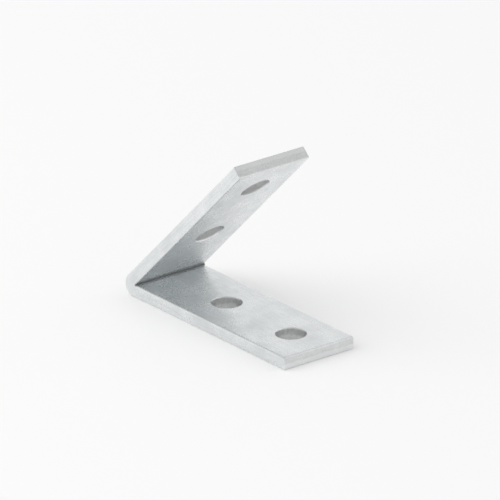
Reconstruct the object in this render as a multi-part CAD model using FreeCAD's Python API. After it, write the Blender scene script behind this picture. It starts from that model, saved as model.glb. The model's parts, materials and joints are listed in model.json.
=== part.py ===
import FreeCAD, Part
import math
import os

from collections import namedtuple
from FreeCAD import Vector

# Flat steel bar, in mm
bar_width = 41.275
bar_thickness = 6.35
mill_edge_radius = 0.8   # rolled radius along both long edges of the bar
shear_break = 0.4        # edge left round each sheared end

# Two legs folded from the bar, each measured on its inner face from the sharp inner corner
leg_angle = 45.0         # degrees between the two inner faces
base_leg_length = 111.125
upper_leg_length = 111.125
bend_inner_radius = 0.6
corner_set = 1.35        # how much tighter the press sets the outside than a free bend leaves it

# Punched holes on the centre line of each leg
holes_per_leg = 2
hole_diameter = 14.2875
hole_pitch = 47.625
hole_end_distance = 20.6375
hole_rollover = 0.5      # rounded lip on the outer face, where the punch enters
hole_break = 0.3         # small bevel on the inner face, where the slug leaves

half_angle = math.radians(leg_angle) / 2
bend_outer_radius = bend_inner_radius + bar_thickness - corner_set
pattern_half = (holes_per_leg - 1) * hole_pitch / 2
same_place = 1e-4        # places nearer than this are one place


def in_side(x, z):
    return Vector(x, 0, z)


# The origin is under the middle of the base leg's holes, on the face that this leg seats on
inner_corner = in_side(pattern_half + hole_end_distance - base_leg_length, bar_thickness)
bisector = in_side(math.cos(half_angle), math.sin(half_angle))
outer_corner = inner_corner - bisector * (bar_thickness / math.sin(half_angle))

Leg = namedtuple("Leg", "along outward length")
base = Leg(in_side(1, 0), in_side(0, -1), base_leg_length)
upper = Leg(in_side(math.cos(2 * half_angle), math.sin(2 * half_angle)),
            in_side(-math.sin(2 * half_angle), math.cos(2 * half_angle)), upper_leg_length)


def on_leg(leg, distance, depth=0.0):
    """Point on a leg's centre line, at a distance from the inner corner and a depth into the bar."""
    return inner_corner + leg.along * distance + leg.outward * depth


def bend_arc(corner, radius):
    """Arc that rounds a corner of the outline, with its ends on the base leg and the upper leg."""
    tangent = radius / math.tan(half_angle)
    middle = corner + bisector * (radius / math.sin(half_angle) - radius)
    start = corner + base.along * tangent
    end = corner + upper.along * tangent
    return Part.Arc(start, middle, end).toShape(), start, end


def side_outline():
    """Closed outline of the folded bar, seen from its side."""
    inner_arc, inner_start, inner_end = bend_arc(inner_corner, bend_inner_radius)
    outer_arc, outer_start, outer_end = bend_arc(outer_corner, bend_outer_radius)
    base_inner = on_leg(base, base.length)
    base_outer = on_leg(base, base.length, bar_thickness)
    upper_inner = on_leg(upper, upper.length)
    upper_outer = on_leg(upper, upper.length, bar_thickness)
    return Part.Wire([
        Part.makeLine(base_outer, base_inner),
        Part.makeLine(base_inner, inner_start),
        inner_arc,
        Part.makeLine(inner_end, upper_inner),
        Part.makeLine(upper_inner, upper_outer),
        Part.makeLine(upper_outer, outer_end),
        outer_arc,
        Part.makeLine(outer_start, base_outer),
    ])


def on_an_end(edge):
    """Whether an edge lies on the sheared end of either leg."""
    middle = edge.valueAt((edge.FirstParameter + edge.LastParameter) / 2)
    return any(abs((middle - inner_corner).dot(leg.along) - leg.length) < same_place
               for leg in (base, upper))


def on_a_side(edge):
    return abs(abs(edge.CenterOfMass.y) - bar_width / 2) < same_place


def folded_bar():
    """The bar bent to its angle, with rolled long edges and sheared ends."""
    side = Part.Face(side_outline())
    side.translate(Vector(0, -bar_width / 2, 0))
    bar = side.extrude(Vector(0, bar_width, 0))
    long_edges = [edge for edge in bar.Edges if on_a_side(edge) and not on_an_end(edge)]
    bar = bar.makeFillet(mill_edge_radius, long_edges)
    return bar.makeFillet(shear_break, [edge for edge in bar.Edges if on_an_end(edge)])


def rims(bar, centres, depth_vector):
    """The round edges of the holes on one face of a leg."""
    return [edge for edge in bar.Edges for centre in centres
            if (edge.CenterOfMass - centre - depth_vector).Length < same_place]


def punch_holes(bar, leg):
    """One leg's holes, from its free end back, each with its outer lip and its inner bevel."""
    centres = [on_leg(leg, leg.length - hole_end_distance - index * hole_pitch)
               for index in range(holes_per_leg)]
    for centre in centres:
        start = centre - leg.outward * bar_thickness
        bar = bar.cut(Part.makeCylinder(hole_diameter / 2, 3 * bar_thickness, start, leg.outward))
    bar = bar.makeFillet(hole_rollover, rims(bar, centres, leg.outward * bar_thickness))
    return bar.makeChamfer(hole_break, rims(bar, centres, Vector()))


fitting = folded_bar()
for leg in (base, upper):
    fitting = punch_holes(fitting, leg)

os.makedirs("parts", exist_ok=True)
fitting.exportStep("parts/angle_fitting.step")
print(f"angle_fitting: valid {fitting.isValid()}, solids {len(fitting.Solids)}, "
      f"faces {len(fitting.Faces)}, volume {fitting.Volume:.1f} mm3")
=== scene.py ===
import bpy
import json
import math
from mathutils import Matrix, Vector, noise


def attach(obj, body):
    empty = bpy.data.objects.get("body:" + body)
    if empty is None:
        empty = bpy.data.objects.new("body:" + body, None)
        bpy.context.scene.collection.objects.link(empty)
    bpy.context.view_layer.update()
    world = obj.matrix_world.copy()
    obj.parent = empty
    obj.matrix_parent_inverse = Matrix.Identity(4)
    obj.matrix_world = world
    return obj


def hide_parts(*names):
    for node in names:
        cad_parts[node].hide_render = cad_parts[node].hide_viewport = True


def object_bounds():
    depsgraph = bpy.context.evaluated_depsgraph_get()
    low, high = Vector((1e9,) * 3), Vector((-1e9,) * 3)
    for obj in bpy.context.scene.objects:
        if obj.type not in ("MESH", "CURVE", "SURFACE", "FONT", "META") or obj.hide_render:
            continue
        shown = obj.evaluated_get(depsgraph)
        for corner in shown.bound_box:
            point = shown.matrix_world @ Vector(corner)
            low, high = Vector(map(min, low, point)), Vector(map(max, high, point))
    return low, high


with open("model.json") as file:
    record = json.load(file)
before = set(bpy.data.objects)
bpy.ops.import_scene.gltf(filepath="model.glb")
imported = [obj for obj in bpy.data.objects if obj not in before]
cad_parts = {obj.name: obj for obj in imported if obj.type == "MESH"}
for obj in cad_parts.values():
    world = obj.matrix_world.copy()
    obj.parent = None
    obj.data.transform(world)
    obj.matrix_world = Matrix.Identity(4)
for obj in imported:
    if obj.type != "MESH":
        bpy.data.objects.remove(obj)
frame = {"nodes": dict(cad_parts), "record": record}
cadLow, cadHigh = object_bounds()
mm = 0.001
print("frame loaded:", ", ".join(sorted(frame["nodes"])))

# the bar; its width, its free end and its holes come from the frame
barShape = {
    "thickness": 6.35 * mm,
    "legLength": 111.125 * mm,   # along the inner face, from the sharp inner corner
    "legAngle": math.radians(45),
    "innerRadius": 0.6 * mm,
    "outerRadius": 5.6 * mm,
    "edgeRadius": 0.8 * mm,      # rolled long edges
    "edgeCells": 5,              # cells round each rolled edge
    "columns": 40,               # cells across the flat of a face
    "layers": 8,                 # cells through the flat of a side
    "stepLength": 1.0 * mm,
    "bendSteps": 36,
    "swell": 0.3 * mm,           # how far each side is pushed out inside the bend
    "swellSharpness": 5,         # an odd power, so that each side moves out its own way
    "waviness": 0.05 * mm,       # of the rolled faces, always inwards
    "wavePitch": 26 * mm,
    "dieMark": 0.06 * mm,        # groove that the edge of the press tool leaves on each outer face
    "dieMarkPlace": 14.5 * mm,   # from the inner corner
    "dieMarkWidth": 3.2 * mm,
    "smoothAngle": math.radians(40),   # faces that meet more sharply keep a hard edge
}

# each sheared end: a small round edge, a band that the blade wiped smooth and a torn band
endShape = {
    "break": 0.4 * mm,
    "breakCells": 3,
    "smoothShare": 0.42,         # of the thickness, from the outer face
    "lineWander": 0.06,          # how far the line between the two bands moves about, also as a share
    "lineScale": 300,            # how many bends it has in a metre
    "tearSharpness": 6,          # how fast one band turns into the other
    "tear": 0.10 * mm,           # how far the torn band lies back
    "tearRough": 0.07 * mm,
    "tearScale": 900,            # how many lumps the torn band has in a metre
    "endOffset": 7,              # sets the two ends' lumps apart
}

# each punched hole, from the inner face out
holeShape = {
    "patchCells": 20,            # side of the square of cells that is cleared for it
    "collarRings": 2,            # between that square and the hole
    "bevel": 0.3 * mm,           # where the slug came out
    "tornWider": 0.12 * mm,
    "tornRough": 0.07 * mm,
    "tornScale": 14,             # how close its lumps are, round the wall
    "tornRise": 2,               # rings over which they grow to full height, after the bevel
    "holeOffset": 90,            # sets the holes' lumps apart
    "land": 2.3 * mm,            # band that the punch wiped smooth
    "lip": 0.5 * mm,             # rolled over where the punch went in
    "lipSteps": 5,
    "tornStep": 0.45 * mm,       # between rings down the wall
    "landStep": 0.9 * mm,
}

halfAngle = barShape["legAngle"] / 2
thickness = barShape["thickness"]
halfWidth = (cadHigh.y - cadLow.y) / 2
acrossBar = Vector((0, 1, 0))
innerCorner = Vector((cadHigh.x - barShape["legLength"], 0, thickness))
bisector = Vector((math.cos(halfAngle), 0, math.sin(halfAngle)))
bendTangent = barShape["innerRadius"] / math.tan(halfAngle)
bendAxis = innerCorner + bisector * (barShape["innerRadius"] / math.sin(halfAngle))
bendTurn = math.pi - barShape["legAngle"]
middleRadius = barShape["innerRadius"] + thickness / 2
halfBend = bendTurn / 2 * middleRadius   # half the bend's length, halfway into the bar
endPlace = barShape["legLength"] - endShape["break"]
legs = {
    "base": {"along": Vector((1, 0, 0)), "out": Vector((0, 0, -1))},
    "upper": {"along": Vector((math.cos(2 * halfAngle), 0, math.sin(2 * halfAngle))),
              "out": Vector((-math.sin(2 * halfAngle), 0, math.cos(2 * halfAngle)))},
}
bores = [m for m in frame["record"]["mounts"] if m["kind"] == "bore"]
holes = [Vector(m["pos_m"]) for m in bores]
holeRadius = bores[0]["dims"]["r_mm"] * mm
patchHalf = (halfWidth - barShape["edgeRadius"]) / barShape["columns"] * holeShape["patchCells"]
samePlace = 1e-6   # places nearer than this are one place


def legOf(point):
    across = (point - innerCorner).cross(bisector).y
    return legs["upper"] if across > 0 else legs["base"]


def distanceAlong(point, leg):
    return (point - innerCorner).dot(leg["along"])


def depthIn(point, leg):
    return (point - innerCorner).dot(leg["out"])


def editMode(kind):
    bpy.ops.object.mode_set(mode="EDIT")
    bpy.ops.mesh.select_mode(type=kind)


def objectMode():
    bpy.ops.object.mode_set(mode="OBJECT")


def pickFaces(piece, test):
    editMode("FACE")
    bpy.ops.mesh.select_all(action="DESELECT")
    objectMode()
    for face in piece.data.polygons:
        face.select = test(face.center)
    editMode("FACE")


def pickOpenEdges(piece, test):
    # edges that only one face uses
    editMode("EDGE")
    bpy.ops.mesh.select_all(action="DESELECT")
    objectMode()
    faceCount = {}
    for face in piece.data.polygons:
        for key in face.edge_keys:
            faceCount[key] = faceCount.get(key, 0) + 1
    points = piece.data.vertices
    for edge in piece.data.edges:
        middle = (points[edge.vertices[0]].co + points[edge.vertices[1]].co) / 2
        edge.select = faceCount.get(edge.key, 0) == 1 and test(middle)
    editMode("EDGE")


def roundedSection(u, v):
    # a point of the bar's section, from its place in the square grid, corners rounded
    radius = barShape["edgeRadius"]
    cells = barShape["edgeCells"]

    def split(index, total, half):
        # place on the flat, and how far into the corner, from -1 to 1
        if index < cells:
            return -(half - radius), -(cells - index) / cells
        if index > total - cells:
            return half - radius, (index - total + cells) / cells
        share = (index - cells) / (total - 2 * cells)
        return (share * 2 - 1) * (half - radius), 0.0

    y, a = split(u, barShape["columns"] + 2 * cells, halfWidth)
    d, b = split(v, barShape["layers"] + 2 * cells, thickness / 2)
    if not (a and b):
        return y + radius * a, d + radius * b + thickness / 2
    # the square of cells in each corner becomes a quarter of a disc
    turn = math.pi / 4 * (abs(b / a) if abs(a) >= abs(b) else 2 - abs(a / b))
    reach = radius * max(abs(a), abs(b))
    y += reach * math.cos(turn) * math.copysign(1, a)
    d += reach * math.sin(turn) * math.copysign(1, b)
    return y, d + thickness / 2


def extrudeSteps(direction, distances):
    for step in distances:
        bpy.ops.mesh.extrude_region_move(TRANSFORM_OT_translate={"value": direction * step})


def legSteps(leg):
    # step lengths from the bend to the free end; one step ends at each hole's centre, and one at each
    # side of its square
    marks = [bendTangent]
    for centre in sorted(distanceAlong(hole, leg) for hole in holes if legOf(hole) is leg):
        marks += [centre - patchHalf, centre, centre + patchHalf]
    marks.append(endPlace)
    steps = []
    for start, end in zip(marks, marks[1:]):
        count = max(1, round((end - start) / barShape["stepLength"]))
        steps += [(end - start) / count] * count
    return steps


def makeBar():
    # the section is pushed along the base leg, spun round the bend and pushed along the upper leg
    wide = barShape["columns"] + 2 * barShape["edgeCells"]
    thick = barShape["layers"] + 2 * barShape["edgeCells"]
    bpy.ops.object.select_all(action="DESELECT")
    bpy.ops.mesh.primitive_grid_add(x_subdivisions=wide, y_subdivisions=thick, size=1)
    bar = bpy.context.object
    bar.name = bar.data.name = "folded_bar"
    for point in bar.data.vertices:
        u = round((point.co.x + 0.5) * wide)
        v = round((point.co.y + 0.5) * thick)
        y, depth = roundedSection(u, v)
        point.co = (innerCorner.x + endPlace, y, thickness - depth)
    editMode("FACE")
    bpy.ops.mesh.select_all(action="SELECT")
    extrudeSteps(-legs["base"]["along"], reversed(legSteps(legs["base"])))
    bpy.ops.mesh.spin(steps=barShape["bendSteps"], angle=-bendTurn, center=bendAxis, axis=acrossBar,
                      use_auto_merge=False)
    extrudeSteps(legs["upper"]["along"], legSteps(legs["upper"]))
    objectMode()
    return bar


def bendAngle(point):
    # angle about the bend's axis, 0 where the base leg ends and bendTurn where the upper leg starts
    arm = point - bendAxis
    angle = math.atan2(-arm.x, -arm.z)
    return angle if angle > -(math.pi / 2 + halfAngle) else angle + 2 * math.pi


def outlineReach(angle):
    # how far the outside of the bend lies from the bend's axis, in that direction
    angle = min(angle, bendTurn - angle)
    outerRadius = barShape["outerRadius"]
    flat = barShape["innerRadius"] + thickness
    shift = (flat - outerRadius) / math.sin(halfAngle)
    if math.tan(angle) * flat < shift * math.cos(halfAngle):
        return flat / math.cos(angle)
    towards = shift * math.sin(angle + halfAngle)
    return towards + math.sqrt(outerRadius ** 2 - shift ** 2 + towards ** 2)


def setCorner(bar):
    # the press sets the outside tighter than the spin leaves it, and the sides swell inside the bend
    inner = barShape["innerRadius"]
    for point in bar.data.vertices:
        angle = bendAngle(point.co)
        if not 0 < angle < bendTurn:
            continue
        side = point.co.y
        arm = point.co - bendAxis
        arm.y = 0
        share = (arm.length - inner) / thickness
        reach = inner + share * (outlineReach(angle) - inner)
        swell = math.sin(math.pi * angle / bendTurn) ** 2 * (1 - share) ** 2
        swell *= (side / halfWidth) ** barShape["swellSharpness"]
        point.co = bendAxis + arm.normalized() * reach
        point.co.y = side + barShape["swell"] * swell


def nearestHole(point, leg):
    # its centre on the inner face, and the point's place from there, along and across the bar
    along = distanceAlong(point, leg)
    hole = min((h for h in holes if legOf(h) is leg), key=lambda h: abs(distanceAlong(h, leg) - along))
    centre = hole - leg["out"] * depthIn(hole, leg)
    return centre, along - distanceAlong(hole, leg), point.y


def holeRings():
    # depth from the inner face, radius, share of the way out to the cleared square, and roughness
    s = holeShape
    tornStart = s["bevel"]
    tornEnd = thickness - s["lip"] - s["land"]
    tornRings = round((tornEnd - tornStart) / s["tornStep"])
    landRings = round(s["land"] / s["landStep"])
    bevelRim = holeRadius + s["bevel"]
    tornRadius = holeRadius + s["tornWider"]
    shares = [k / (s["collarRings"] + 1) for k in range(s["collarRings"], 0, -1)]
    rings = [(0, bevelRim, share, 0) for share in shares]
    rings += [(0, bevelRim, 0, 0), (tornStart / 2, (bevelRim + tornRadius) / 2, 0, 0)]
    for k in range(tornRings):
        depth = tornStart + (tornEnd - tornStart) * k / tornRings
        rings.append((depth, tornRadius, 0, s["tornRough"] * min(1, k / s["tornRise"])))
    for k in range(landRings):
        rings.append((tornEnd + s["land"] * k / landRings, holeRadius, 0, 0))
    for k in range(s["lipSteps"] + 1):
        turn = math.pi / 2 * k / s["lipSteps"]
        depth = thickness - s["lip"] * (1 - math.sin(turn))
        rings.append((depth, holeRadius + s["lip"] * (1 - math.cos(turn)), 0, 0))
    rings += [(thickness, holeRadius + s["lip"], share, 0) for share in reversed(shares)]
    rings.append((thickness, holeRadius + s["lip"], 1, 0))
    return rings


def punchHoles(bar):
    # all the holes at once: squares are cleared on both faces, and the edge of the inner one is pushed
    # in ring by ring, down through the wall and out to the edge of the outer one
    def inPatch(point):
        leg = legOf(point)
        _, along, across = nearestHole(point, leg)
        onFace = min(abs(depthIn(point, leg)), abs(depthIn(point, leg) - thickness)) < samePlace
        return onFace and max(abs(along), abs(across)) < patchHalf + samePlace

    pickFaces(bar, inPatch)
    bpy.ops.mesh.delete(type="FACE")
    pickOpenEdges(bar, lambda point: depthIn(point, legOf(point)) < samePlace)
    for depth, radius, share, rough in holeRings():
        bpy.ops.mesh.extrude_edges_move()
        objectMode()
        for point in bar.data.vertices:
            if not point.select:
                continue
            leg = legOf(point.co)
            centre, along, across = nearestHole(point.co, leg)
            reach = math.hypot(along, across)
            along /= reach
            across /= reach
            lump = Vector((along * holeShape["tornScale"], across * holeShape["tornScale"],
                           depth / mm + centre.x * holeShape["holeOffset"]))
            ring = radius + rough * noise.noise(lump)
            ring += share * (patchHalf / max(abs(along), abs(across)) - ring)
            point.co = centre + leg["out"] * depth + leg["along"] * (along * ring)
            point.co.y = across * ring
        editMode("EDGE")
    bpy.ops.mesh.select_all(action="SELECT")
    bpy.ops.mesh.remove_doubles(threshold=samePlace)
    objectMode()


def shearEnds(bar):
    # the flat cap of each leg is moved out to its full length, its outer cells rolled into the round edge
    radius = barShape["edgeRadius"]
    edge = endShape["break"]
    edgeCells = barShape["edgeCells"]
    breakCells = endShape["breakCells"]
    for point in bar.data.vertices:
        leg = legOf(point.co)
        if abs(distanceAlong(point.co, leg) - endPlace) > samePlace:
            continue
        y = point.co.y
        depth = depthIn(point.co, leg)
        coreY = max(-(halfWidth - radius), min(y, halfWidth - radius))
        coreDepth = max(radius, min(depth, thickness - radius))
        reach = math.hypot(y - coreY, depth - coreDepth)
        ring = round((1 - reach / radius) * edgeCells)
        turn = min(ring / breakCells, 1) * math.pi / 2
        inset = edge * (1 - math.cos(turn))
        inset += (radius - edge) * max(0, ring - breakCells) / (edgeCells - breakCells)
        if reach > samePlace:
            shrink = (radius - inset) / reach
            y = coreY + (y - coreY) * shrink
            depth = coreDepth + (depth - coreDepth) * shrink
        forward = edge * math.sin(turn)
        if ring > breakCells:
            # the blade enters at the outer face
            linePlace = Vector((y * endShape["lineScale"], leg["out"].x, 0))
            tearLine = endShape["smoothShare"] + endShape["lineWander"] * noise.noise(linePlace)
            torn = max(0, min(1, (1 - depth / thickness - tearLine) * endShape["tearSharpness"]))
            lump = Vector((y * endShape["tearScale"], depth * endShape["tearScale"],
                           leg["out"].x * endShape["endOffset"]))
            forward -= torn * (endShape["tear"] + endShape["tearRough"] * noise.noise(lump))
        point.co = innerCorner + leg["along"] * (endPlace + forward) + leg["out"] * depth
        point.co.y = y


def waveFaces(bar):
    # rolled faces are never quite flat; they only go inwards, so that the bar still lies flush
    bar.data.update()
    normals = [point.normal.copy() for point in bar.data.vertices]
    for point, normal in zip(bar.data.vertices, normals):
        leg = legOf(point.co)
        along = distanceAlong(point.co, leg)
        inset = barShape["waviness"] * (0.5 + 0.5 * noise.noise(point.co / barShape["wavePitch"]))
        if abs(depthIn(point.co, leg) - thickness) < samePlace:
            gap = abs(along - barShape["dieMarkPlace"]) / (barShape["dieMarkWidth"] / 2)
            if gap < 1:
                inset += barShape["dieMark"] * (0.5 + 0.5 * math.cos(math.pi * gap))
        point.co -= normal * inset


folded = makeBar()
print("bar swept and folded:", len(folded.data.polygons), "faces")
setCorner(folded)
punchHoles(folded)
print("corner set and holes punched:", len(folded.data.polygons), "faces")
shearEnds(folded)
editMode("FACE")
bpy.ops.mesh.select_all(action="SELECT")
bpy.ops.mesh.normals_make_consistent(inside=False)
bpy.ops.mesh.select_all(action="DESELECT")
objectMode()
waveFaces(folded)
bpy.ops.object.shade_smooth_by_angle(angle=barShape["smoothAngle"])
print("ends sheared and faces waved")

# the zinc on the whole bar; lengths in mm, because the barSpace attribute is in mm
finish = {
    "dullZinc": (0.69, 0.715, 0.725, 1),
    "brightZinc": (0.87, 0.89, 0.895, 1),
    # rubbed zinc: on the rolled edges also a painted highlight; scratches and burnished lines use it too
    "rubbedZincAndHighlight": (0.81, 0.82, 0.82, 1),
    # colour of the torn band, and of the painted shade on the walls of the holes
    "tornZincAndHoleShade": (0.50, 0.50, 0.50, 1),
    "cloudPitch": 16.0,
    "cloudRange": (0.32, 0.68),  # noise values from dull zinc to bright
    "cloudShare": 0.62,          # shares of the tone that clouds, crystals and pits make
    "crystalPitch": 0.9,
    "crystalShare": 0.26,
    "pitPitch": 0.55,
    "pitShare": 0.24,
    "pitHeight": 0.03,
    "dimplePitch": 3.2,
    "dimpleHeight": 0.035,
    "roughness": (0.36, 0.27),   # where the clouds are dull, and where they are bright
    "crystalRoughness": 0.05,    # more or less, by crystal
    "rubbedPolish": 0.08,        # less where it is rubbed
    "rubbedReach": 1.25,         # of the rubbed strip on each long edge, which also carries a painted highlight, in edge radii
}

# the faces and long edges of the bar; the numbers of a stretch are for along, across and into the bar,
# and a small one draws the pattern out that way
plateFinish = {
    "grainPitch": 0.6,           # grain of the rolled bar, drawn out along it
    "grainLength": 22,           # how many times longer than wide
    "grainHeight": 0.03,
    "streakZinc": (0.48, 0.50, 0.51, 1),
    "streakRange": (0.45, 0.8),  # values of the grain over which streaks show
    "streakShare": 0.34,
    "scratches": (               # each set's turn, width and amount
        (0.5, 0.08, 0.0),
        (-0.9, 0.06, 0.02),
        (1.45, 0.06, -0.02),
    ),
    "scratchStretch": (0.03, 0.7, 0.7),
    "scratchPatch": 9.0,         # pitch of the patches that have scratches
    "scratchRange": (0.62, 0.75),
    "scratchShine": 0.6,
    "scratchHeight": 0.02,
    "bendZone": (11.0, 4.4),     # distances from the middle of the bend over which the zinc is stretched
    "bendDepths": (3.5, 6.0),    # and depths from the inner face
    "bendDulling": 0.06,
    "peelPitch": 0.9,            # of the stretched zinc's fine ridges, which run across the bar
    "peelStretch": (1, 0.12, 1),
    "peelHeight": 0.10,
    # colour of the painted shade in the inner corner, also of its thin dull zinc
    "shadedZinc": (0.17, 0.175, 0.18, 1),
    "cornerShadeZone": (0.9, 0.25),   # the dark line in the inner corner, painted shade and also thin dull zinc, as shares of half the bend's length
    "cornerShadeDepths": (0.9, 0.2),
    "cornerDulling": 0.35,
}

# the sheared ends and the walls of the holes
cutFinish = {
    "cutZinc": (0.78, 0.775, 0.77, 1),
    "linePitch": 0.5,            # fine lines that the blade and the punch leave
    "lineStretch": (1, 1, 0.08),
    "lineHeight": 0.04,
    "coarsePitch": 0.8,          # grain of the torn band
    "coarseStretch": (1, 1, 0.5),
    "coarseRange": (0.3, 0.7),
    "coarseHeight": 0.3,
    "wanderPitch": 2.5,          # how the edge of the torn band moves about
    "wander": 1.8,
    "tornDepths": (3.9, 3.1),    # from the inner face: the torn band's edge
    "bevelDepths": (0.3, 0.9),   # and its other edge, by the bevel
    "tornShare": 0.7,
    "tornDulling": 0.2,
    "platingShare": 0.4,
    "endBand": (1.0, 2.0),       # distances from a leg's end between the end's tone and a hole's painted shade
    "holeShade": 0.45,           # share of the torn colour in a hole: painted shade on its walls, also less zinc reaching them
}


def addNode(tree, kind, sockets=None, **settings):
    # sockets maps an input's name or number to a value, or to the output that feeds it
    node = tree.nodes.new(kind)
    for name, value in settings.items():
        setattr(node, name, value)
    for name, value in (sockets or {}).items():
        if isinstance(value, bpy.types.NodeSocket):
            tree.links.new(value, node.inputs[name])
        else:
            node.inputs[name].default_value = value
    return node


def maths(tree, operation, *values):
    return addNode(tree, "ShaderNodeMath", dict(enumerate(values)), operation=operation).outputs[0]


def scaled(tree, value, factor):
    return maths(tree, "MULTIPLY", value, factor)


def vectorMaths(tree, operation, *values):
    node = addNode(tree, "ShaderNodeVectorMath", dict(enumerate(values)), operation=operation)
    return node.outputs["Value" if operation in ("DOT_PRODUCT", "LENGTH") else "Vector"]


def mapRange(tree, value, low, high, newLow=0.0, newHigh=1.0):
    sockets = {"Value": value, "From Min": low, "From Max": high, "To Min": newLow, "To Max": newHigh}
    return addNode(tree, "ShaderNodeMapRange", sockets).outputs[0]


def mixColours(tree, share, first, second):
    return addNode(tree, "ShaderNodeMix", {0: share, 6: first, 7: second}, data_type="RGBA").outputs[2]


def noiseValue(tree, place, pitch, detail=2.0, roughness=0.5):
    sockets = {"Vector": place, "Scale": 1 / pitch, "Detail": detail, "Roughness": roughness}
    return addNode(tree, "ShaderNodeTexNoise", sockets).outputs[0]


def newGroup(name, inputs, outputs):
    tree = bpy.data.node_groups.new(name, "ShaderNodeTree")
    for side, sockets in (("INPUT", inputs), ("OUTPUT", outputs)):
        for socketName, kind in sockets.items():
            tree.interface.new_socket(socketName, in_out=side, socket_type="NodeSocket" + kind)
    return tree, tree.nodes.new("NodeGroupInput").outputs, tree.nodes.new("NodeGroupOutput").inputs


def makePlatingGroup():
    # soft clouds and fine crystals of the zinc, brighter and smoother where it is rubbed; the brighter colour
    # on the rolled edges is also a painted highlight
    tree, given, put = newGroup("platingClouds", {"Place": "Vector", "RubbedAndHighlight": "Float"},
                                {"Colour": "Color", "Roughness": "Float", "Height": "Float"})
    clouds = noiseValue(tree, given["Place"], finish["cloudPitch"], detail=4.0, roughness=0.6)
    cloud = mapRange(tree, clouds, *finish["cloudRange"])
    cells = addNode(tree, "ShaderNodeTexVoronoi",
                    {"Vector": given["Place"], "Scale": 1 / finish["crystalPitch"], "Randomness": 1.0})
    crystal = addNode(tree, "ShaderNodeSeparateColor", {0: cells.outputs["Color"]}).outputs[0]
    pits = noiseValue(tree, given["Place"], finish["pitPitch"], detail=3.0, roughness=0.6)
    dimples = noiseValue(tree, given["Place"], finish["dimplePitch"])
    tone = maths(tree, "ADD", scaled(tree, cloud, finish["cloudShare"]),
                 scaled(tree, crystal, finish["crystalShare"]))
    tone = maths(tree, "ADD", tone, scaled(tree, pits, finish["pitShare"]))
    colour = mixColours(tree, tone, finish["dullZinc"], finish["brightZinc"])
    # lighter rolled edges: rubbed zinc and painted highlight
    colour = mixColours(tree, given["RubbedAndHighlight"], colour, finish["rubbedZincAndHighlight"])
    spread = finish["crystalRoughness"]
    rough = maths(tree, "ADD", mapRange(tree, cloud, 0, 1, *finish["roughness"]),
                  mapRange(tree, crystal, 0, 1, -spread, spread))
    rough = maths(tree, "SUBTRACT", rough, scaled(tree, given["RubbedAndHighlight"], finish["rubbedPolish"]))
    height = maths(tree, "ADD", scaled(tree, pits, finish["pitHeight"]),
                   scaled(tree, dimples, finish["dimpleHeight"]))
    tree.links.new(colour, put["Colour"])
    tree.links.new(rough, put["Roughness"])
    tree.links.new(height, put["Height"])
    return tree


def makeLinesGroup():
    # fine lines: noise drawn out one way, where it crosses its middle value, broken up by a wider noise
    tree, given, put = newGroup("fineLines", {"Place": "Vector", "Stretch": "Vector", "Turn": "Float",
                                              "Width": "Float", "Amount": "Float"}, {"Mask": "Float"})
    turned = addNode(tree, "ShaderNodeVectorRotate", {"Vector": given["Place"], "Angle": given["Turn"]},
                     rotation_type="Z_AXIS").outputs[0]
    drawn = noiseValue(tree, vectorMaths(tree, "MULTIPLY", turned, given["Stretch"]), 1.0, detail=1.0)
    offMiddle = maths(tree, "ABSOLUTE", maths(tree, "SUBTRACT", drawn, 0.5))
    line = mapRange(tree, maths(tree, "DIVIDE", offMiddle, given["Width"]), 0, 1, 1, 0)
    patches = noiseValue(tree, turned, plateFinish["scratchPatch"])
    shown = mapRange(tree, maths(tree, "ADD", patches, given["Amount"]), *plateFinish["scratchRange"])
    tree.links.new(scaled(tree, line, shown), put["Mask"])
    return tree


def barPlace(tree):
    return addNode(tree, "ShaderNodeAttribute", attribute_name="barSpace").outputs["Vector"]


def placeGroup(tree, group, sockets):
    return addNode(tree, "ShaderNodeGroup", sockets, node_tree=group).outputs


def newMaterial(name):
    material = bpy.data.materials.new(name)
    material.use_nodes = True
    tree = material.node_tree
    tree.nodes.clear()
    shader = addNode(tree, "ShaderNodeBsdfPrincipled", {"Metallic": 1.0})
    addNode(tree, "ShaderNodeOutputMaterial", {"Surface": shader.outputs[0]})
    return material, tree, shader


def addBump(tree, shader, height):
    # heights are in mm, as the places are
    bump = addNode(tree, "ShaderNodeBump", {"Height": height, "Distance": mm, "Strength": 1.0})
    tree.links.new(bump.outputs[0], shader.inputs["Normal"])


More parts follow.
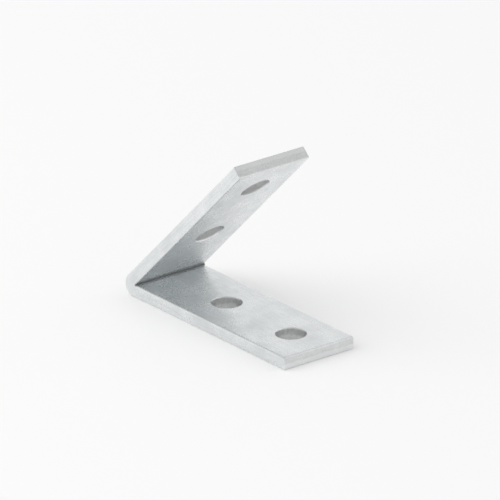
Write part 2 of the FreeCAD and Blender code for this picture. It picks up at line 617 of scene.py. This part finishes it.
def makeZincPlate():
    material, tree, shader = newMaterial("zincPlate")
    look = plateFinish
    place = barPlace(tree)
    rubbedAndHighlight = addNode(tree, "ShaderNodeAttribute", attribute_name="rubbedEdgeAndHighlight").outputs["Fac"]
    plating = placeGroup(tree, platingClouds, {"Place": place, "RubbedAndHighlight": rubbedAndHighlight})
    drawnOut = vectorMaths(tree, "MULTIPLY", place, (1 / look["grainLength"], 1, 1))
    grain = noiseValue(tree, drawnOut, look["grainPitch"], detail=3.0)
    streak = mapRange(tree, grain, *look["streakRange"], 0.0, look["streakShare"])
    scratches = None
    for turn, width, amount in look["scratches"]:
        sockets = {"Place": place, "Stretch": look["scratchStretch"], "Turn": turn, "Width": width,
                   "Amount": amount}
        lines = placeGroup(tree, fineLines, sockets)["Mask"]
        scratches = lines if scratches is None else maths(tree, "MAXIMUM", scratches, lines)
    # the outside of the bend is stretched; in the inner corner a dark line is painted shade, also thin dull
    # zinc there
    parts = addNode(tree, "ShaderNodeSeparateXYZ", {0: place}).outputs
    fromBend = maths(tree, "ABSOLUTE", parts[0])
    depth = parts[2]
    bendShare = scaled(tree, mapRange(tree, fromBend, *look["bendZone"]),
                       mapRange(tree, depth, *look["bendDepths"]))
    ridges = noiseValue(tree, vectorMaths(tree, "MULTIPLY", place, look["peelStretch"]), look["peelPitch"],
                        detail=3.0)
    peel = scaled(tree, ridges, bendShare)
    cornerShadeZone = [halfBend / mm * share for share in look["cornerShadeZone"]]
    cornerShadeShare = scaled(tree, mapRange(tree, fromBend, *cornerShadeZone),
                         mapRange(tree, depth, *look["cornerShadeDepths"]))
    colour = mixColours(tree, streak, plating["Colour"], look["streakZinc"])
    colour = mixColours(tree, scaled(tree, scratches, look["scratchShine"]), colour, finish["rubbedZincAndHighlight"])
    # paints shade into the inner corner's colour
    colour = mixColours(tree, cornerShadeShare, colour, look["shadedZinc"])
    tree.links.new(colour, shader.inputs["Base Color"])
    rough = maths(tree, "ADD", plating["Roughness"], scaled(tree, bendShare, look["bendDulling"]))
    rough = maths(tree, "ADD", rough, scaled(tree, cornerShadeShare, look["cornerDulling"]))
    tree.links.new(rough, shader.inputs["Roughness"])
    height = maths(tree, "ADD", plating["Height"], scaled(tree, grain, look["grainHeight"]))
    height = maths(tree, "ADD", height, scaled(tree, peel, look["peelHeight"]))
    height = maths(tree, "SUBTRACT", height, scaled(tree, scratches, look["scratchHeight"]))
    addBump(tree, shader, height)
    return material


def makeCutZinc():
    # fine lines along the cut where it is smooth, and coarse grain where it is torn
    material, tree, shader = newMaterial("cutZinc")
    look = cutFinish
    place = barPlace(tree)
    plating = placeGroup(tree, platingClouds, {"Place": place, "RubbedAndHighlight": 0.0})
    throughBar = vectorMaths(tree, "MULTIPLY", place, look["lineStretch"])
    lines = noiseValue(tree, throughBar, look["linePitch"])
    coarsePlace = vectorMaths(tree, "MULTIPLY", place, look["coarseStretch"])
    coarse = noiseValue(tree, coarsePlace, look["coarsePitch"], detail=4.0, roughness=0.65)
    parts = addNode(tree, "ShaderNodeSeparateXYZ", {0: place}).outputs
    depth = parts[2]
    wander = maths(tree, "SUBTRACT", noiseValue(tree, throughBar, look["wanderPitch"], detail=3.0), 0.5)
    tearPlace = maths(tree, "ADD", depth, scaled(tree, wander, look["wander"]))
    tornShare = scaled(tree, mapRange(tree, tearPlace, *look["tornDepths"]),
                       mapRange(tree, depth, *look["bevelDepths"]))
    cut = mixColours(tree, lines, look["cutZinc"], finish["rubbedZincAndHighlight"])
    torn = mixColours(tree, mapRange(tree, coarse, *look["coarseRange"]), finish["tornZincAndHoleShade"], look["cutZinc"])
    colour = mixColours(tree, scaled(tree, tornShare, look["tornShare"]), cut, torn)
    colour = mixColours(tree, look["platingShare"], colour, plating["Colour"])
    # the walls of the holes get painted shade, a share of the torn colour
    legEnd = (barShape["legLength"] - bendTangent + halfBend) / mm
    endBand = [legEnd - distance for distance in look["endBand"]]
    holeShadeShare = mapRange(tree, maths(tree, "ABSOLUTE", parts[0]), *endBand, 0.0, look["holeShade"])
    colour = mixColours(tree, holeShadeShare, colour, finish["tornZincAndHoleShade"])
    tree.links.new(colour, shader.inputs["Base Color"])
    rough = maths(tree, "ADD", plating["Roughness"], scaled(tree, tornShare, look["tornDulling"]))
    tree.links.new(rough, shader.inputs["Roughness"])
    height = maths(tree, "ADD", scaled(tree, scaled(tree, coarse, tornShare), look["coarseHeight"]),
                   scaled(tree, lines, look["lineHeight"]))
    addBump(tree, shader, height)
    return material


def markBar(bar):
    # barSpace is the place in the bar unrolled, in mm: along it from the bend, across it and into it
    spaces = []
    rubbedAndHighlight = []
    for point in bar.data.vertices:
        leg = legOf(point.co)
        angle = bendAngle(point.co)
        if 0 < angle < bendTurn:
            arm = point.co - bendAxis
            arm.y = 0
            along = abs(angle - bendTurn / 2) * middleRadius
            depth = arm.length - barShape["innerRadius"]
        else:
            along = distanceAlong(point.co, leg) - bendTangent + halfBend
            depth = depthIn(point.co, leg)
        along *= -1 if leg is legs["upper"] else 1
        spaces += [along / mm, point.co.y / mm, depth / mm]
        # the rolled edges' strip, rubbed and with a painted highlight
        corner = math.hypot(halfWidth - abs(point.co.y), min(depth, thickness - depth))
        rubbedAndHighlight.append(max(0, min(1, finish["rubbedReach"] - corner / barShape["edgeRadius"])))
    bar.data.attributes.new("barSpace", "FLOAT_VECTOR", "POINT").data.foreach_set("vector", spaces)
    bar.data.attributes.new("rubbedEdgeAndHighlight", "FLOAT", "POINT").data.foreach_set("value", rubbedAndHighlight)


def onCut(point):
    # on a sheared end or in a hole, inside the round edges
    leg = legOf(point)
    depth = depthIn(point, leg)
    if not holeShape["bevel"] < depth < thickness - holeShape["lip"]:
        return False
    if distanceAlong(point, leg) > endPlace + endShape["break"] / 2:
        return True
    if 0 < bendAngle(point) < bendTurn:
        return False
    _, along, across = nearestHole(point, leg)
    return math.hypot(along, across) < holeRadius + holeShape["tornWider"] * 2


platingClouds = makePlatingGroup()
fineLines = makeLinesGroup()
markBar(folded)
for material in (makeZincPlate(), makeCutZinc()):
    folded.data.materials.append(material)
for face in folded.data.polygons:
    face.material_index = 1 if onCut(face.center) else 0
print("bar finished:", ", ".join(slot.name for slot in folded.material_slots))

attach(folded, "root")
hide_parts("angle_fitting")

# pale floor and background, one large soft lamp and a weak one
stage = {
    "floorSize": 12.0,
    "floorDrop": 0.05 * mm,
    "floorColour": (0.97, 0.97, 0.97, 1),
    "floorGlow": 0.15,           # share of plain white that is seen in the floor, near the object
    "fadeStart": 0.5,            # the floor turns plain white from here
    "fadeEnd": 3.0,              # to here, measured from the object
    "ambient": 0.72,             # how bright the background is as a source of light
    "zenith": 0.55,              # how bright it looks overhead; lower down it looks white
    "whiteClimb": 0.25,          # sine of the angle above the floor up to which it is white
    "dimLevel": 0.78,            # share of its brightness left on its dim side, above a low white band
    "dimSide": Vector((0.3, -0.95, 0)),
    "dimRange": (0.15, 0.55),    # cosines of the angles from that side
    "dimBand": (0.03, 0.25),     # sines of the angles above the floor
    "keyLevel": 1.15,            # how bright a lamp's face is, where plain white is 1
    "keySize": 3.0,
    "keyPlace": Vector((-0.95, -1.6, 1.95)),
    "fillLevel": 0.8,
    "fillSize": 1.4,
    "fillPlace": Vector((1.2, 2.4, 1.3)),
}

# the view: one known point of the bar and the pixel that it falls on, in a frame of 500 pixels
view = {
    "azimuth": math.radians(51.37),
    "elevation": math.radians(22.5),
    "framePixels": 500,
    "pixelsPerMetre": 2160,
    "seenPoint": Vector((-16.675, 0, 36.35)) * mm,
    "seenPixel": (236.24, 247.21),
    "lens": 1000,
    "sensor": 36,
    "nearest": 0.1,              # what the camera sees, in metres from it
    "farthest": 60,
}


def brightRays(tree):
    # 1 for the rays that show the stage, and 0 for those that only carry its light
    rays = addNode(tree, "ShaderNodeLightPath").outputs
    seen = maths(tree, "MAXIMUM", rays["Is Camera Ray"], rays["Is Glossy Ray"])
    return maths(tree, "MAXIMUM", seen, rays["Is Transmission Ray"])


def makeWorld():
    world = bpy.data.worlds.new("studio")
    world.use_nodes = True
    bpy.context.scene.world = world
    tree = world.node_tree
    tree.nodes.clear()
    direction = addNode(tree, "ShaderNodeTexCoord").outputs["Generated"]
    climb = addNode(tree, "ShaderNodeSeparateXYZ", {0: direction}).outputs[2]
    dome = mapRange(tree, climb, stage["whiteClimb"], 1.0, 1.0, stage["zenith"])
    towardsDim = vectorMaths(tree, "DOT_PRODUCT", direction, stage["dimSide"])
    dimShare = scaled(tree, mapRange(tree, towardsDim, *stage["dimRange"]),
                      mapRange(tree, climb, *stage["dimBand"]))
    dome = scaled(tree, dome, mapRange(tree, dimShare, 0, 1, 1, stage["dimLevel"]))
    level = addNode(tree, "ShaderNodeMix", {0: brightRays(tree), 2: stage["ambient"], 3: dome}).outputs[0]
    background = addNode(tree, "ShaderNodeBackground", {"Color": (1, 1, 1, 1), "Strength": level})
    addNode(tree, "ShaderNodeOutputWorld", {"Surface": background.outputs[0]})


def makeFloor():
    bpy.ops.object.select_all(action="DESELECT")
    bpy.ops.mesh.primitive_plane_add(size=stage["floorSize"], location=(0, 0, -stage["floorDrop"]))
    floor = bpy.context.object
    floor.name = "floor"
    material = bpy.data.materials.new("paleFloor")
    material.use_nodes = True
    tree = material.node_tree
    tree.nodes.clear()
    matt = addNode(tree, "ShaderNodeBsdfDiffuse", {"Color": stage["floorColour"]})
    glow = addNode(tree, "ShaderNodeEmission", {"Color": (1, 1, 1, 1)})
    place = addNode(tree, "ShaderNodeTexCoord").outputs["Object"]
    away = vectorMaths(tree, "LENGTH", place)
    glowShare = mapRange(tree, away, stage["fadeStart"], stage["fadeEnd"], stage["floorGlow"], 1.0)
    share = scaled(tree, brightRays(tree), glowShare)
    both = addNode(tree, "ShaderNodeMixShader", {0: share, 1: matt.outputs[0], 2: glow.outputs[0]})
    addNode(tree, "ShaderNodeOutputMaterial", {"Surface": both.outputs[0]})
    floor.data.materials.append(material)


def makeLamp(name, place, level, size):
    data = bpy.data.lights.new(name, "AREA")
    data.energy = level * math.pi * size ** 2
    data.size = size
    lamp = bpy.data.objects.new(name, data)
    lamp.location = place
    lamp.rotation_euler = (view["seenPoint"] - place).to_track_quat("-Z", "Y").to_euler()
    lamp.visible_camera = False
    lamp.visible_glossy = False
    bpy.context.scene.collection.objects.link(lamp)


def makeCamera():
    # placed so that the seen point falls on its pixel
    turn = view["azimuth"]
    tilt = view["elevation"]
    right = Vector((math.cos(turn), math.sin(turn), 0))
    up = Vector((-math.sin(turn) * math.sin(tilt), math.cos(turn) * math.sin(tilt), math.cos(tilt)))
    back = right.cross(up)
    middle = view["framePixels"] / 2
    target = view["seenPoint"] + right * ((middle - view["seenPixel"][0]) / view["pixelsPerMetre"])
    target -= up * ((middle - view["seenPixel"][1]) / view["pixelsPerMetre"])
    distance = view["framePixels"] / view["pixelsPerMetre"] * view["lens"] / view["sensor"]
    data = bpy.data.cameras.new("camera")
    data.lens = view["lens"]
    data.sensor_width = view["sensor"]
    data.clip_start = view["nearest"]
    data.clip_end = view["farthest"]
    camera = bpy.data.objects.new("camera", data)
    camera.location = target + back * distance
    camera.rotation_euler = back.to_track_quat("Z", "Y").to_euler()
    bpy.context.scene.collection.objects.link(camera)
    bpy.context.scene.camera = camera


makeWorld()
makeFloor()
makeLamp("key", stage["keyPlace"], stage["keyLevel"], stage["keySize"])
makeLamp("fill", stage["fillPlace"], stage["fillLevel"], stage["fillSize"])
makeCamera()
bpy.context.scene.view_settings.view_transform = "Standard"
print("stage, lamps and camera placed")
